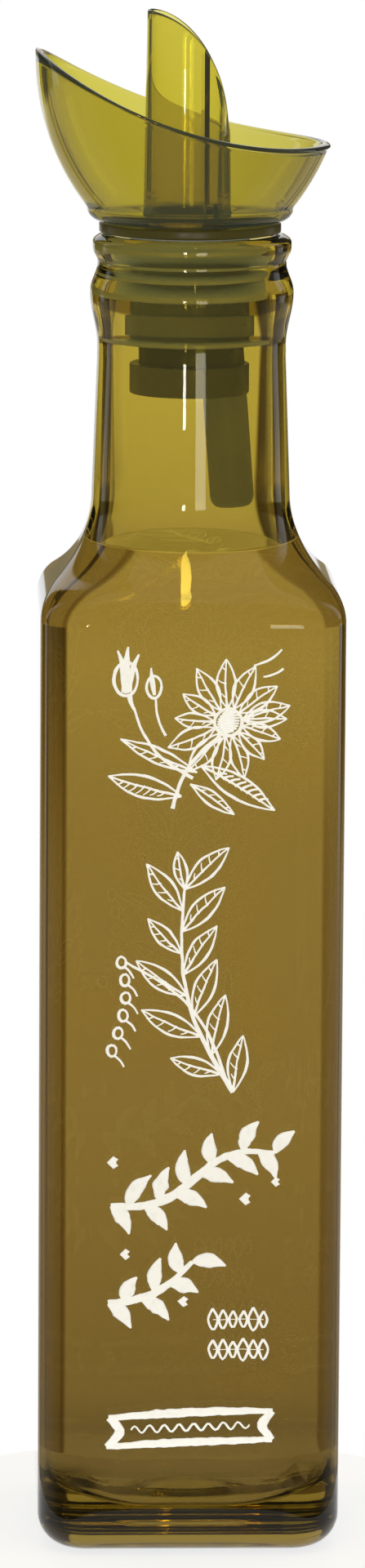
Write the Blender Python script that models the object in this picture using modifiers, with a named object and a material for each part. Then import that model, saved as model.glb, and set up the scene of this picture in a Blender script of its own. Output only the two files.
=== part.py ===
"""Oil dispenser bottle.

A square olive glass bottle with a round neck, filled with oil, closed by a soft finned stopper that
carries a clear yellow-green pouring cup with a tall slanted spout. Metres, +Z up. The origin is the
middle of the rest face, and the front of the bottle looks along -Y.
"""
from math import asin, atan2, cos, degrees, hypot, pi, radians, sin, sqrt, tan

import bmesh
import bpy

# Glass body
body_width = 0.0492
body_corner_radius = 0.0080
heel_radius = 0.0055
wall_at_shoulder = 0.0030
wall_at_base = 0.0036
base_thickness = 0.0065
inner_heel_radius = 0.0070

# Glass shoulder, one convex arc and one concave arc joined by a straight slope
shoulder_start_height = 0.1526
shoulder_slope = radians(47)
shoulder_convex_radius = 0.0080
shoulder_concave_radius = 0.0180

# Glass neck and its finish
neck_foot_radius = 0.0161
neck_top_radius = 0.0153
neck_top_height = 0.1935
bore_radius = 0.0131
bead_radius = 0.0165
bead_height = 0.2041
bead_rise_below = 0.0085
bead_rise_above = 0.0048
lip_top_height = 0.2135
lip_radius = 0.0161
lip_ring_bottom = 0.2109
lip_ring_top = 0.2126
groove_radius = 0.0153
groove_height = 0.2088
lip_face_radius = 0.0148
mouth_round = 0.0006

# Oil
oil_level = 0.1632
piece_gap = 0.0003

# Soft stopper, which sits a little to one side in the bore with the cup that it carries
closure_x = -0.00035
flange_radius = 0.0147
flange_thickness = 0.0015
flange_round = 0.0004
core_radius = 0.0096
fin_radius = 0.0123
fin_count = 4
first_fin_height = 0.2114
fin_pitch = 0.0025
fin_tip_thickness = 0.0006
fin_root_thickness = 0.0015
drum_radius = 0.0104
drum_top = 0.2016
drum_bottom = 0.1982
low_fin_height = 0.1967
waist_radius = 0.0082
waist_top = 0.1958
waist_bottom = 0.1926
end_ring_radius = 0.0097
end_ring_bottom = 0.1878
pour_bore_radius = 0.0039
pour_bore_x = -0.0024

# Air tube, one piece with the stopper, leaning outwards to its lower end
air_tube_radius = 0.0036
air_tube_end = 0.1693
air_tube_end_round = 0.0016
air_bore_radius = 0.0012
air_tube_x_at_flange = 0.0036
air_tube_x_at_end = 0.0072

# Pouring cup
cup_widest_radius = 0.02505
cup_widest_height = 0.2421
cup_side_curve = 0.0395
cup_wall = 0.0012
cup_floor_thickness = 0.0014
cup_foot_height = 0.0022
cup_foot_round = 0.0023
cup_profile_top = 0.2450
rim_lowest_height = 0.2283
rim_lowest_x = 0.0220
rim_curve_radius = 0.0800

# Spout
spout_x = -0.0005
spout_foot_radius = 0.0071
spout_tip_radius = 0.0065
spout_bore_radius = 0.0056
spout_uncut_height = 0.0360
spout_cut_x = -0.0080
spout_cut_height = 0.2300
spout_cut_half_width = 0.0141
spout_cut_rise = 0.0196
channel_wall_left = 0.0019
channel_wall_right = 0.0027
drain_width = 0.0022
drain_height = 0.0020
drain_depth = 0.0040
drain_outset = 0.0065
drain_turn = radians(-58)

# Fineness of the facets
flat_angles = (0.0, 12.0, 23.0)
corner_steps = 6
heel_steps = 5
shoulder_steps = 6
round_steps = 48
spout_steps = 32
tube_steps = 20
rim_steps = 28
channel_step = radians(14)
bead_steps = 12
cup_side_steps = 12
cup_foot_steps = 3

# How far a cutter reaches past what it cuts
clearance = 0.0020

# Worked out from the sizes above
body_half = body_width / 2
flange_bottom = lip_top_height + piece_gap
flange_top = flange_bottom + flange_thickness
cup_bottom = flange_top + piece_gap
cup_floor = cup_bottom + cup_floor_thickness


def clear_scene():
    """Remove every object that the scene holds."""
    for thing in list(bpy.data.objects):
        bpy.data.objects.remove(thing, do_unlink=True)


def new_collection(name):
    """Make a collection in the scene."""
    collection = bpy.data.collections.new(name)
    bpy.context.scene.collection.children.link(collection)
    return collection


def plain_material(name, colour, roughness, metallic=0.0, transmission=0.0):
    """Make a Principled material."""
    material = bpy.data.materials.new(name)
    material.use_nodes = True
    shader = material.node_tree.nodes["Principled BSDF"]
    shader.inputs["Base Color"].default_value = (*colour, 1.0)
    shader.inputs["Roughness"].default_value = roughness
    shader.inputs["Metallic"].default_value = metallic
    shader.inputs["Transmission Weight"].default_value = transmission
    return material


def arc(centre, radius, start, end, steps):
    """Points of an arc in a half plane, as (distance from the axis, height), angles in radians."""
    points = []
    for step in range(steps + 1):
        angle = start + (end - start) * step / steps
        points.append((centre[0] + radius * cos(angle), centre[1] + radius * sin(angle)))
    return points


def object_from_bmesh(name, mesh_data, collection, material=None):
    """Turn a bmesh into an object of a collection."""
    mesh = bpy.data.meshes.new(name)
    mesh_data.to_mesh(mesh)
    mesh_data.free()
    thing = bpy.data.objects.new(name, mesh)
    collection.objects.link(thing)
    if material:
        mesh.materials.append(material)
    return thing


def shade(thing, sharp_angle=35):
    """Shade round faces smooth and keep sharp edges."""
    thing.data.shade_smooth()
    thing.data.set_sharp_from_angle(angle=radians(sharp_angle))


def section_angles():
    """Directions of a section's points: few on a flat, close together round a corner."""
    corner_start = degrees(atan2(body_half - body_corner_radius, body_half))
    corner_span = 90 - 2 * corner_start
    quarter = list(flat_angles)
    quarter += [corner_start + corner_span * step / corner_steps for step in range(corner_steps + 1)]
    quarter += [90 - angle for angle in reversed(flat_angles[1:])]
    return [radians(90 * turn + angle) for turn in range(4) for angle in quarter]


def section_radius(angle, half_width, corner_radius):
    """Distance from the axis to a square with round corners, in one direction."""
    folded = angle % (pi / 2)
    if folded > pi / 4:
        folded = pi / 2 - folded
    straight = half_width - corner_radius
    if half_width * tan(folded) <= straight:
        return half_width / cos(folded)
    along = straight * (cos(folded) + sin(folded))
    return along + sqrt(along ** 2 - 2 * straight ** 2 + corner_radius ** 2)


def loft(name, rings, collection, material):
    """Join sections, each a half width, a corner radius and a height, into one closed body."""
    angles = section_angles()
    data = bmesh.new()
    loops = []
    for half_width, corner_radius, height in rings:
        loop = []
        for angle in angles:
            radius = section_radius(angle, half_width, corner_radius)
            loop.append(data.verts.new((radius * cos(angle), radius * sin(angle), height)))
        loops.append(loop)
    count = len(angles)
    for lower, upper in zip(loops, loops[1:]):
        for index in range(count):
            following = (index + 1) % count
            data.faces.new((lower[index], lower[following], upper[following], upper[index]))
    data.faces.new(list(reversed(loops[0])))
    data.faces.new(loops[-1])
    thing = object_from_bmesh(name, data, collection, material)
    shade(thing)
    return thing


def turned(name, profile, collection, material=None, steps=round_steps):
    """Turn a profile, written down its outer side, about the Z axis."""
    data = bmesh.new()
    points = [data.verts.new((distance, 0.0, height)) for distance, height in profile]
    for first, second in zip(points, points[1:]):
        data.edges.new((first, second))
    thing = object_from_bmesh(name, data, collection, material)
    screw = thing.modifiers.new("turn", "SCREW")
    screw.axis = "Z"
    screw.steps = steps
    screw.render_steps = steps
    screw.use_merge_vertices = True
    screw.merge_threshold = 0.00005
    screw.use_smooth_shade = True
    return thing


def extruded(name, outline, start, end, collection, plane="XY"):
    """Extrude an outline that runs anticlockwise, along Z, or along Y for an outline in XZ."""
    data = bmesh.new()
    if plane == "XY":
        first = [data.verts.new((x, y, start)) for x, y in outline]
        second = [data.verts.new((x, y, end)) for x, y in outline]
    else:
        first = [data.verts.new((x, end, z)) for x, z in outline]
        second = [data.verts.new((x, start, z)) for x, z in outline]
    count = len(outline)
    data.faces.new(list(reversed(first)))
    data.faces.new(second)
    for index in range(count):
        following = (index + 1) % count
        data.faces.new((first[index], first[following], second[following], second[index]))
    return object_from_bmesh(name, data, collection)


def combine(thing, other, operation):
    """Cut one piece with another, or join it to another, which then only serves as a guide."""
    boolean = thing.modifiers.new(other.name, "BOOLEAN")
    boolean.operation = operation
    boolean.solver = "EXACT"
    boolean.object = other
    other.hide_render = True
    other.display_type = "WIRE"


def shoulder_rings(inset, level=None):
    """Sections of the shoulder, moved inwards by a wall, from the body up to the neck or a level."""
    convex_centre = (body_half - shoulder_convex_radius, shoulder_start_height)
    convex = arc(convex_centre, shoulder_convex_radius - inset, 0.0, shoulder_slope, shoulder_steps)
    slope_drop = (
        body_half - neck_foot_radius
        - (shoulder_convex_radius + shoulder_concave_radius) * (1 - cos(shoulder_slope))
    )
    slope_rise = slope_drop / tan(shoulder_slope)
    concave_centre = (
        neck_foot_radius + shoulder_concave_radius,
        shoulder_start_height + slope_rise
        + (shoulder_convex_radius + shoulder_concave_radius) * sin(shoulder_slope),
    )
    concave_radius = shoulder_concave_radius + inset
    end_slope = 0.0 if level is None else asin((concave_centre[1] - level) / concave_radius)
    concave = arc(concave_centre, concave_radius, pi + shoulder_slope, pi + end_slope, shoulder_steps)
    rings = []
    for half_width, height in convex + concave:
        outer_half = half_width + inset
        share = (body_half - outer_half) / (body_half - neck_foot_radius)
        share = min(max(share, 0.0), 1.0)
        corner = body_corner_radius + (neck_foot_radius - body_corner_radius) * share - inset
        rings.append((half_width, min(corner, half_width), height))
    return rings


def inner_rings(inset, level=None):
    """Sections of the hollow, or of what fills it, from the floor up to the neck or a level."""
    floor = base_thickness + inset - wall_at_shoulder
    floor_half = body_half - wall_at_base - (inset - wall_at_shoulder)
    corner = body_corner_radius - wall_at_base - (inset - wall_at_shoulder)
    rings = []
    for step in range(heel_steps + 1):
        turn = radians(90) * step / heel_steps
        narrowing = inner_heel_radius * (1 - sin(turn))
        height = floor + inner_heel_radius * (1 - cos(turn))
        corner_here = corner + (inner_heel_radius - corner) * (1 - sin(turn))
        rings.append((floor_half - narrowing, corner_here, height))
    return rings + shoulder_rings(inset, level)


def heel_rings():
    """Outer sections from the rest face round the heel to the straight side."""
    rings = []
    for step in range(heel_steps + 1):
        turn = radians(90) * step / heel_steps
        narrowing = heel_radius * (1 - sin(turn))
        height = heel_radius * (1 - cos(turn))
        rings.append((body_half - narrowing, body_corner_radius - narrowing, height))
    return rings


def bead_radius_at(height):
    """Outer radius of the neck on the bead, which swells gently below and quickly above."""
    base = neck_top_radius if height < bead_height else groove_radius
    reach = bead_rise_below if height < bead_height else bead_rise_above
    share = min(abs(height - bead_height) / reach, 1.0)
    return base + (bead_radius - base) * cos(share * pi / 2) ** 2


def finish_outline():
    """Outer outline of the neck from the shoulder to the lip's face, as (radius, height)."""
    outline = [(neck_top_radius, neck_top_height)]
    bead_bottom = bead_height - bead_rise_below
    bead_top = bead_height + bead_rise_above
    for step in range(bead_steps + 1):
        height = bead_bottom + (bead_top - bead_bottom) * step / bead_steps
        outline.append((bead_radius_at(height), height))
    outline.append((groove_radius, groove_height))
    outline.append((lip_radius, lip_ring_bottom))
    outline.append((lip_radius, lip_ring_top))
    outline.append((lip_face_radius, lip_top_height))
    return outline


def build_glass(collection):
    """The bottle: heel, straight sides, shoulder, neck with its finish, and the hollow."""
    glass = plain_material("olive glass", (0.42, 0.33, 0.06), 0.03, transmission=0.9)
    rings = heel_rings() + shoulder_rings(0.0)
    rings += [(radius, radius, height) for radius, height in finish_outline()]
    mouth = arc((bore_radius + mouth_round, lip_top_height - mouth_round), mouth_round, pi / 2, pi, 3)
    rings += [(radius, radius, height) for radius, height in mouth]
    rings += list(reversed(inner_rings(wall_at_shoulder)))
    return loft("bottle_glass", rings, collection, glass)


def build_oil(collection):
    """The oil, just clear of the glass all round, up to its level in the shoulder."""
    oil = plain_material("oil", (0.55, 0.40, 0.04), 0.0, transmission=0.9)
    return loft("oil", inner_rings(wall_at_shoulder + piece_gap, oil_level), collection, oil)


def stopper_outline():
    """Half section of the stopper, down its outer side, as (radius, height)."""
    outline = [(0.0, flange_top)]
    outline += arc((flange_radius - flange_round, flange_top - flange_round), flange_round, pi / 2, 0, 2)
    outline.append((flange_radius, flange_bottom))
    outline.append((fin_radius, flange_bottom))
    outline.append((fin_radius, flange_bottom - piece_gap))
    outline.append((core_radius, flange_bottom - 2 * piece_gap))
    fin_heights = [first_fin_height - fin_pitch * index for index in range(fin_count)]
    for height in fin_heights:
        outline += fin_outline(height)
    outline.append((core_radius, drum_top))
    outline.append((drum_radius, drum_top))
    outline.append((drum_radius, drum_bottom))
    outline.append((core_radius, drum_bottom))
    outline += fin_outline(low_fin_height)
    outline.append((waist_radius, waist_top))
    outline.append((waist_radius, waist_bottom))
    outline.append((end_ring_radius, waist_bottom))
    outline.append((end_ring_radius, end_ring_bottom))
    outline.append((0.0, end_ring_bottom))
    return outline


def fin_outline(height):
    """One fin of the stopper, thick at its root and thin at its tip."""
    return [
        (core_radius, height + fin_root_thickness / 2),
        (fin_radius, height + fin_tip_thickness / 2),
        (fin_radius, height - fin_tip_thickness / 2),
        (core_radius, height - fin_root_thickness / 2),
    ]


def build_stopper(collection, cutters):
    """The soft stopper with its fins, pour bore, and air tube with its bore."""
    olive = plain_material("soft olive plastic", (0.115, 0.105, 0.025), 0.45)
    stopper = turned("stopper", stopper_outline(), collection, olive)
    lean_run = air_tube_x_at_end - air_tube_x_at_flange
    lean_drop = flange_top - air_tube_end
    lean = atan2(lean_run, lean_drop)
    tube_length = hypot(lean_run, lean_drop)
    round_centre = (air_tube_radius - air_tube_end_round, air_tube_end_round)
    tube_outline = [(0.0, tube_length - flange_thickness), (air_tube_radius, tube_length - flange_thickness)]
    tube_outline += arc(round_centre, air_tube_end_round, 0, -pi / 2, 4)
    tube_outline.append((0.0, 0.0))
    tube = turned("air_tube_guide", tube_outline, cutters, steps=tube_steps)
    bore_outline = [
        (0.0, tube_length + flange_thickness),
        (air_bore_radius, tube_length + flange_thickness),
        (air_bore_radius, -flange_thickness),
        (0.0, -flange_thickness),
    ]
    bore = turned("air_bore_guide", bore_outline, cutters, steps=tube_steps)
    for leaning in (tube, bore):
        leaning.location = (air_tube_x_at_end, 0.0, air_tube_end)
        leaning.rotation_euler = (0.0, -lean, 0.0)
    pour_outline = [
        (0.0, flange_top + flange_thickness),
        (pour_bore_radius, flange_top + flange_thickness),
        (pour_bore_radius, end_ring_bottom - flange_thickness),
        (0.0, end_ring_bottom - flange_thickness),
    ]
    pour = turned("pour_bore_guide", pour_outline, cutters, steps=tube_steps)
    pour.location = (pour_bore_x, 0.0, 0.0)
    combine(stopper, tube, "UNION")
    combine(stopper, bore, "DIFFERENCE")
    combine(stopper, pour, "DIFFERENCE")
    return stopper


def cup_outline():
    """Half section of the pouring cup before its rim is cut, down its outer side."""
    centre = (cup_widest_radius - cup_side_curve, cup_widest_height)
    inner_curve = cup_side_curve - cup_wall
    foot_top = cup_bottom + cup_foot_height
    top_turn = asin((cup_profile_top - cup_widest_height) / cup_side_curve)
    foot_turn = -asin((cup_widest_height - foot_top) / cup_side_curve)
    inner_foot_turn = -asin((cup_widest_height - cup_floor) / inner_curve)
    outline = [(0.0, cup_floor)]
    outline += arc(centre, inner_curve, inner_foot_turn, top_turn, cup_side_steps)
    outer = arc(centre, cup_side_curve, top_turn, foot_turn, cup_side_steps)
    outline += outer
    foot_radius = outer[-1][0]
    for step in range(1, cup_foot_steps + 1):
        turn = radians(90) * step / cup_foot_steps
        distance = foot_radius - cup_foot_round * (1 - cos(turn))
        outline.append((distance, foot_top - cup_foot_height * sin(turn)))
    outline.append((0.0, cup_bottom))
    return outline


def rim_cutter(cutters):
    """What is cut away above the cup's rim: a wide round hollow that falls towards +X."""
    reach = cup_widest_radius + clearance
    top = spout_cut_height + 2 * spout_cut_rise
    outline = []
    for step in range(rim_steps + 1):
        x = -reach + 2 * reach * step / rim_steps
        sag = sqrt(rim_curve_radius ** 2 - (x - rim_lowest_x) ** 2)
        outline.append((x, rim_lowest_height + rim_curve_radius - sag))
    outline += [(reach, top), (-reach, top)]
    return extruded("rim_guide", outline, -reach, reach, cutters, plane="XZ")


def spout_top_cutter(cutters):
    """What is cut away above the spout's slanted top, whose outline is a quarter of an ellipse."""
    reach = spout_foot_radius + 2 * clearance
    top = spout_cut_height + 2 * spout_cut_rise
    start = asin((spout_cut_x + reach) / spout_cut_half_width)
    outline = [(reach, top), (-reach, top)]
    for step in range(rim_steps + 1):
        turn = -start + (pi / 2 + start) * step / rim_steps
        x = spout_cut_x + spout_cut_half_width * sin(turn)
        outline.append((x, spout_cut_height + spout_cut_rise * cos(turn)))
    outline.append((reach, spout_cut_height))
    return extruded("spout_top_guide", outline, -reach, reach, cutters, plane="XZ")


def channel_cutter(name, cutters, wall_x, side):
    """A channel of the spout: the part of its round bore on one side of the dividing wall."""
    chord = (wall_x - spout_x) / spout_bore_radius
    half_turn = atan2(sqrt(1 - chord ** 2), chord)
    start, end = (-half_turn, half_turn) if side > 0 else (half_turn, 2 * pi - half_turn)
    steps = round((end - start) / channel_step)
    outline = arc((spout_x, 0.0), spout_bore_radius, start, end, steps)
    return extruded(name, outline, cup_bottom - clearance, cup_bottom + 2 * spout_uncut_height, cutters)


def drain_cutter(cutters):
    """A notch at the spout's foot that lets drips run from the cup back into the air channel."""
    data = bmesh.new()
    bmesh.ops.create_cube(data, size=1.0)
    bmesh.ops.scale(data, vec=(drain_depth, drain_width, drain_height), verts=data.verts)
    notch = object_from_bmesh("drain_guide", data, cutters)
    place_x = spout_x + drain_outset * cos(drain_turn)
    notch.location = (place_x, drain_outset * sin(drain_turn), cup_floor + drain_height / 2)
    notch.rotation_euler = (0.0, 0.0, drain_turn)
    return notch


def build_pourer(collection, cutters):
    """The clear cup with its slanted rim, the spout, and the spout's two channels."""
    clear_green = plain_material("clear yellow-green plastic", (0.55, 0.50, 0.06), 0.05, transmission=0.9)
    cup = turned("pourer", cup_outline(), collection, clear_green)
    data = bmesh.new()
    spout_bottom = cup_bottom + cup_floor_thickness / 2
    bmesh.ops.create_cone(
        data, cap_ends=True, segments=spout_steps, depth=spout_uncut_height,
        radius1=spout_foot_radius, radius2=spout_tip_radius,
    )
    spout = object_from_bmesh("spout_guide", data, cutters)
    spout.location = (spout_x, 0.0, spout_bottom + spout_uncut_height / 2)
    combine(spout, spout_top_cutter(cutters), "DIFFERENCE")
    combine(cup, rim_cutter(cutters), "DIFFERENCE")
    combine(cup, spout, "UNION")
    combine(cup, channel_cutter("pour_channel_guide", cutters, channel_wall_left, -1), "DIFFERENCE")
    combine(cup, channel_cutter("air_channel_guide", cutters, channel_wall_right, 1), "DIFFERENCE")
    combine(cup, drain_cutter(cutters), "DIFFERENCE")
    return cup


def main():
    """Build every piece of the bottle."""
    clear_scene()
    parts = new_collection("oil_dispenser_bottle")
    cutters = new_collection("guides")
    build_glass(parts)
    build_oil(parts)
    closure = bpy.data.objects.new("closure_place", None)
    closure.location = (closure_x, 0.0, 0.0)
    cutters.objects.link(closure)
    for thing in [build_stopper(parts, cutters), build_pourer(parts, cutters), *cutters.objects]:
        if thing is not closure:
            thing.parent = closure


main()
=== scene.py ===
# %% [markdown]
# # A square oil bottle with a pouring cup
#
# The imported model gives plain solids: a bottle, its oil, a soft stopper and a pouring cup with a spout.
# This lesson gives each one a fine surface and a finish that light can pass through, and adds the white
# print on the front. Everything is in metres, with the bottle standing on z = 0 and its front along -Y.

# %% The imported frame
from math import asin, atan2, cos, hypot, pi, radians, sin, sqrt, tan

import bpy
from mathutils import Matrix, Vector


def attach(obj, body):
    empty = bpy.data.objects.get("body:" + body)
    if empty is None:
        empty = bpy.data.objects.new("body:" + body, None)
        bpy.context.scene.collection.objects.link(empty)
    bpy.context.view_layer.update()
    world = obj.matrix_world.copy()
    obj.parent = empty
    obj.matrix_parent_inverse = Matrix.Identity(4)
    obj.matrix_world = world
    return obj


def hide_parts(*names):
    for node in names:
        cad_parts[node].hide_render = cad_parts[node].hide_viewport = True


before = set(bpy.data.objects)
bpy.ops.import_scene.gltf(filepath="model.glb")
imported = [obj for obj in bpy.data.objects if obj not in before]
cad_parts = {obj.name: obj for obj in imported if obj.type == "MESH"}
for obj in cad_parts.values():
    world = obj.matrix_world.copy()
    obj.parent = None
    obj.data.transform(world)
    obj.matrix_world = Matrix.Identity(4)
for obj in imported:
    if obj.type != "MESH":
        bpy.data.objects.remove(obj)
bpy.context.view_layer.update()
MM = 0.001
print("solids:", sorted(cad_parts))

# %% [markdown]
# ## Wires that read like sums
#
# Shapes and finishes below are both written as node trees. Placing each Math node by hand hides the
# formula, so a small class wraps a socket, and Python's own signs add the nodes. Its method node adds
# any other kind: first the settings, then the sockets. Kinds that come up often have a short method.

# %% A socket that can be added and multiplied
def sign(operation, swapped=False):
    """A method that adds one Math node; the reflected form of a sign swaps its two values."""
    def method(wire, other):
        pair = (other, wire) if swapped else (wire, other)
        return wire.node("ShaderNodeMath", pair, operation=operation)
    return method


class Wire:
    """A socket of a node tree, or a tree alone, to which Python's signs add Math nodes."""

    def __init__(self, tree, socket=None):
        self.tree = tree
        self.socket = socket

    def node(self, kind, sockets=(), out=0, stops=(), **settings):
        """Add a node and return one of its outputs."""
        node = self.tree.nodes.new(kind)
        for name, value in settings.items():
            setattr(node, name, value)
        if stops:
            while len(node.color_ramp.elements) < len(stops):
                node.color_ramp.elements.new(1.0)
            for element, (place, colour) in zip(node.color_ramp.elements, stops):
                element.position = place
                element.color = (*colour, 1.0)
        pairs = sockets.items() if isinstance(sockets, dict) else enumerate(sockets)
        for key, value in pairs:
            if isinstance(value, Wire):
                self.tree.links.new(value.socket, node.inputs[key])
            else:
                node.inputs[key].default_value = value
        return Wire(self.tree, node.outputs[out])

    def also(self, out):
        """Another output of the same node."""
        return Wire(self.tree, self.socket.node.outputs[out])

    def maths(self, operation, *others):
        """A function of this value, such as its cosine, or of this one and others."""
        return self.node("ShaderNodeMath", (self, *others), operation=operation)

    def parts(self):
        """The three numbers of this vector."""
        first = self.node("ShaderNodeSeparateXYZ", [self], out="X")
        return first, first.also("Y"), first.also("Z")

    def vector(self, x, y, z):
        return self.node("ShaderNodeCombineXYZ", [x, y, z])

    def scaled(self, start, end, low=0.0, high=1.0, **settings):
        """This value, with its range from start to end brought to low to high."""
        return self.node("ShaderNodeMapRange", {
            "Value": self, "From Min": start, "From Max": end, "To Min": low, "To Max": high},
            out="Result", **settings)

    def mix(self, first, second, **settings):
        """A colour between two others, this value being the second one's share."""
        colours = [(*colour, 1.0) if isinstance(colour, tuple) else colour for colour in (first, second)]
        return self.node("ShaderNodeMix", {"Factor": self, "A": colours[0], "B": colours[1]},
                         out="Result", data_type="RGBA", **settings)

    def noise(self, scale, detail, roughness=0.5, out="Fac"):
        """A soft random pattern over this place."""
        return self.node("ShaderNodeTexNoise", {
            "Vector": self, "Scale": scale, "Detail": detail, "Roughness": roughness}, out=out)

    def bump(self, strength, distance):
        """A normal that leans as if this value were the surface's height."""
        return self.node("ShaderNodeBump", {"Strength": strength, "Distance": distance, "Height": self})

    def named(self, name):
        """A number that was stored on the geometry."""
        return self.node("GeometryNodeInputNamedAttribute", {"Name": name}, data_type="FLOAT")

    def stored(self, name, value, domain="POINT"):
        """This geometry, with a number kept on it under a name."""
        return self.node("GeometryNodeStoreNamedAttribute", {
            "Geometry": self, "Name": name, "Value": value}, data_type="FLOAT", domain=domain)

    __add__ = sign("ADD")
    __radd__ = sign("ADD", swapped=True)
    __sub__ = sign("SUBTRACT")
    __rsub__ = sign("SUBTRACT", swapped=True)
    __mul__ = sign("MULTIPLY")
    __rmul__ = sign("MULTIPLY", swapped=True)
    __truediv__ = sign("DIVIDE")
    __lt__ = sign("LESS_THAN")
    __gt__ = sign("GREATER_THAN")


def new_finish(name, constants):
    """A material with one Principled shader, and the wire of the place on the object."""
    material = bpy.data.materials.new(name)
    material.use_nodes = True
    shader = material.node_tree.nodes["Principled BSDF"]
    for label, value in constants.items():
        shader.inputs[label].default_value = value
    print("finish:", name)
    wires = Wire(material.node_tree)
    return wires.node("ShaderNodeTexCoord", out="Object"), shader, material


def feed(shader, label, wire):
    """Link a wire to one of the shader's sockets."""
    wire.tree.links.new(wire.socket, shader.inputs[label])


def soak(material, colour, density):
    """Let light lose colour on its way through the material, more with each millimetre."""
    tree = material.node_tree
    volume = Wire(tree).node(
        "ShaderNodeVolumeAbsorption", {"Color": (*colour, 1.0), "Density": density})
    tree.links.new(volume.socket, tree.nodes["Material Output"].inputs["Volume"])


white = (1.0, 1.0, 1.0)
black = (0.0, 0.0, 0.0)
print("wires ready")

# %% [markdown]
# ## Running a geometry tree
#
# A tree is run once on a small host mesh, and its result is kept as a plain mesh at the origin. The
# inputs are set by their identifiers, before the host is first evaluated.

# %% New trees, and plain meshes from them
def new_tree(name, inputs):
    """A Geometry Nodes tree with named inputs, and the wire of its input node."""
    tree = bpy.data.node_groups.new(name, "GeometryNodeTree")
    tree.interface.new_socket("Geometry", in_out="INPUT", socket_type="NodeSocketGeometry")
    tree.interface.new_socket("Geometry", in_out="OUTPUT", socket_type="NodeSocketGeometry")
    for label, (kind, default) in inputs.items():
        socket = tree.interface.new_socket(label, in_out="INPUT", socket_type="NodeSocket" + kind)
        if default is not None:
            socket.default_value = default
    return tree, Wire(tree).node("NodeGroupInput", out="Geometry")


def end_tree(wire, material):
    """Close a tree, with no instances left and everything in its finish."""
    real = wire.node("GeometryNodeRealizeInstances", {"Geometry": wire})
    smooth = wire.node("GeometryNodeSetShadeSmooth", {"Geometry": real})
    dressed = wire.node("GeometryNodeSetMaterial", {"Geometry": smooth, "Material": material})
    wire.tree.links.new(dressed.socket, wire.tree.nodes.new("NodeGroupOutput").inputs[0])


def place(name, mesh):
    """Put a mesh into the scene as an object at the origin."""
    piece = bpy.data.objects.new(name, mesh)
    bpy.context.scene.collection.objects.link(piece)
    return piece


def plain_copy(host):
    """The mesh that an object's modifiers give."""
    graph = bpy.context.evaluated_depsgraph_get()
    return bpy.data.meshes.new_from_object(host.evaluated_get(graph))


def grow(name, tree, host_mesh, **values):
    """Run a tree on a mesh with the given input values."""
    host = place(name + "_host", host_mesh)
    modifier = host.modifiers.new("tree", "NODES")
    modifier.node_group = tree
    for item in tree.interface.items_tree:
        key = item.name.lower().replace(" ", "_")
        if item.in_out == "INPUT" and key in values:
            modifier[item.identifier] = values[key]
    mesh = plain_copy(host)
    host.modifiers.remove(modifier)
    bpy.data.objects.remove(host)
    mesh.name = name
    piece = place(name, mesh)
    print(name, "has", len(mesh.vertices), "points and", len(mesh.polygons), "faces")
    return piece


# %% [markdown]
# ## The shell tree
#
# The bottle, the oil and the stopper all follow one rule: a section at each height, either a circle or a
# square with round corners, joined to the next one. So a host mesh holds only the outline, as points
# with a half width, a height and a corner radius, and the tree lays a grid round it. The points of a
# section crowd towards the corners, where the surface turns. Merging closes the seam and the two poles.

# %% Round and squared sections from an outline
shell_tree, entry = new_tree("shell_round_an_outline", {
    "Around": ("Int", 96),
    "Crowding": ("Float", 0.0),
    "Finish": ("Material", None),
})
around = entry.also("Around")
row_count = entry.node(
    "GeometryNodeAttributeDomainSize", {"Geometry": entry}, out="Point Count", component="MESH")
grid = entry.node("GeometryNodeMeshGrid", {"Vertices X": around + 1, "Vertices Y": row_count})
index = entry.node("GeometryNodeInputIndex")
row = index.maths("MODULO", row_count)
column = (index / row_count).maths("FLOOR")


def sampled(value, data_type):
    """What the outline holds at this grid point's row."""
    return entry.node(
        "GeometryNodeSampleIndex", {"Geometry": entry, "Value": value, "Index": row}, data_type=data_type)


def held(name):
    """A number that the outline holds under a name."""
    return sampled(entry.named(name), "FLOAT")


outline_place = sampled(entry.node("GeometryNodeInputPosition"), "FLOAT_VECTOR")
half_width, _, height = outline_place.parts()
corner = held("corner")
turn = column / around * (2 * pi)
angle = turn + entry.also("Crowding") / 4 * (turn * 4).maths("SINE")
folded = ((angle + pi / 4).maths("FLOORED_MODULO", pi / 2) - pi / 4).maths("ABSOLUTE")
straight = half_width - corner
along = straight * (folded.maths("COSINE") + folded.maths("SINE"))
round_radius = along + (along * along - 2 * straight * straight + corner * corner).maths("SQRT")
flat_radius = half_width / folded.maths("COSINE")
on_flat = half_width * folded.maths("TANGENT") < straight
radius = on_flat * flat_radius + (1 - on_flat) * round_radius
shaped = entry.node("GeometryNodeSetPosition", {
    "Geometry": grid,
    "Position": entry.vector(radius * angle.maths("COSINE"), radius * angle.maths("SINE"), height),
})
tinted = shaped.stored("outside", held("outside"))
merge_distance = 0.002 * MM
closed = entry.node("GeometryNodeMergeByDistance", {"Geometry": tinted, "Distance": merge_distance})
end_tree(closed, entry.also("Finish"))


def outline_mesh(name, points, outside_count=0):
    """A host mesh of outline points, each a half width, a corner radius and a height."""
    mesh = bpy.data.meshes.new(name)
    edges = [(step, step + 1) for step in range(len(points) - 1)]
    mesh.from_pydata([(half, 0.0, level) for half, _, level in points], edges, [])
    corner_values = mesh.attributes.new("corner", "FLOAT", "POINT")
    corner_values.data.foreach_set("value", [round_corner for _, round_corner, _ in points])
    outside = mesh.attributes.new("outside", "FLOAT", "POINT")
    outside.data.foreach_set("value", [float(number < outside_count) for number in range(len(points))])
    return mesh


print("shell tree has", len(shell_tree.nodes), "nodes")

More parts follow.
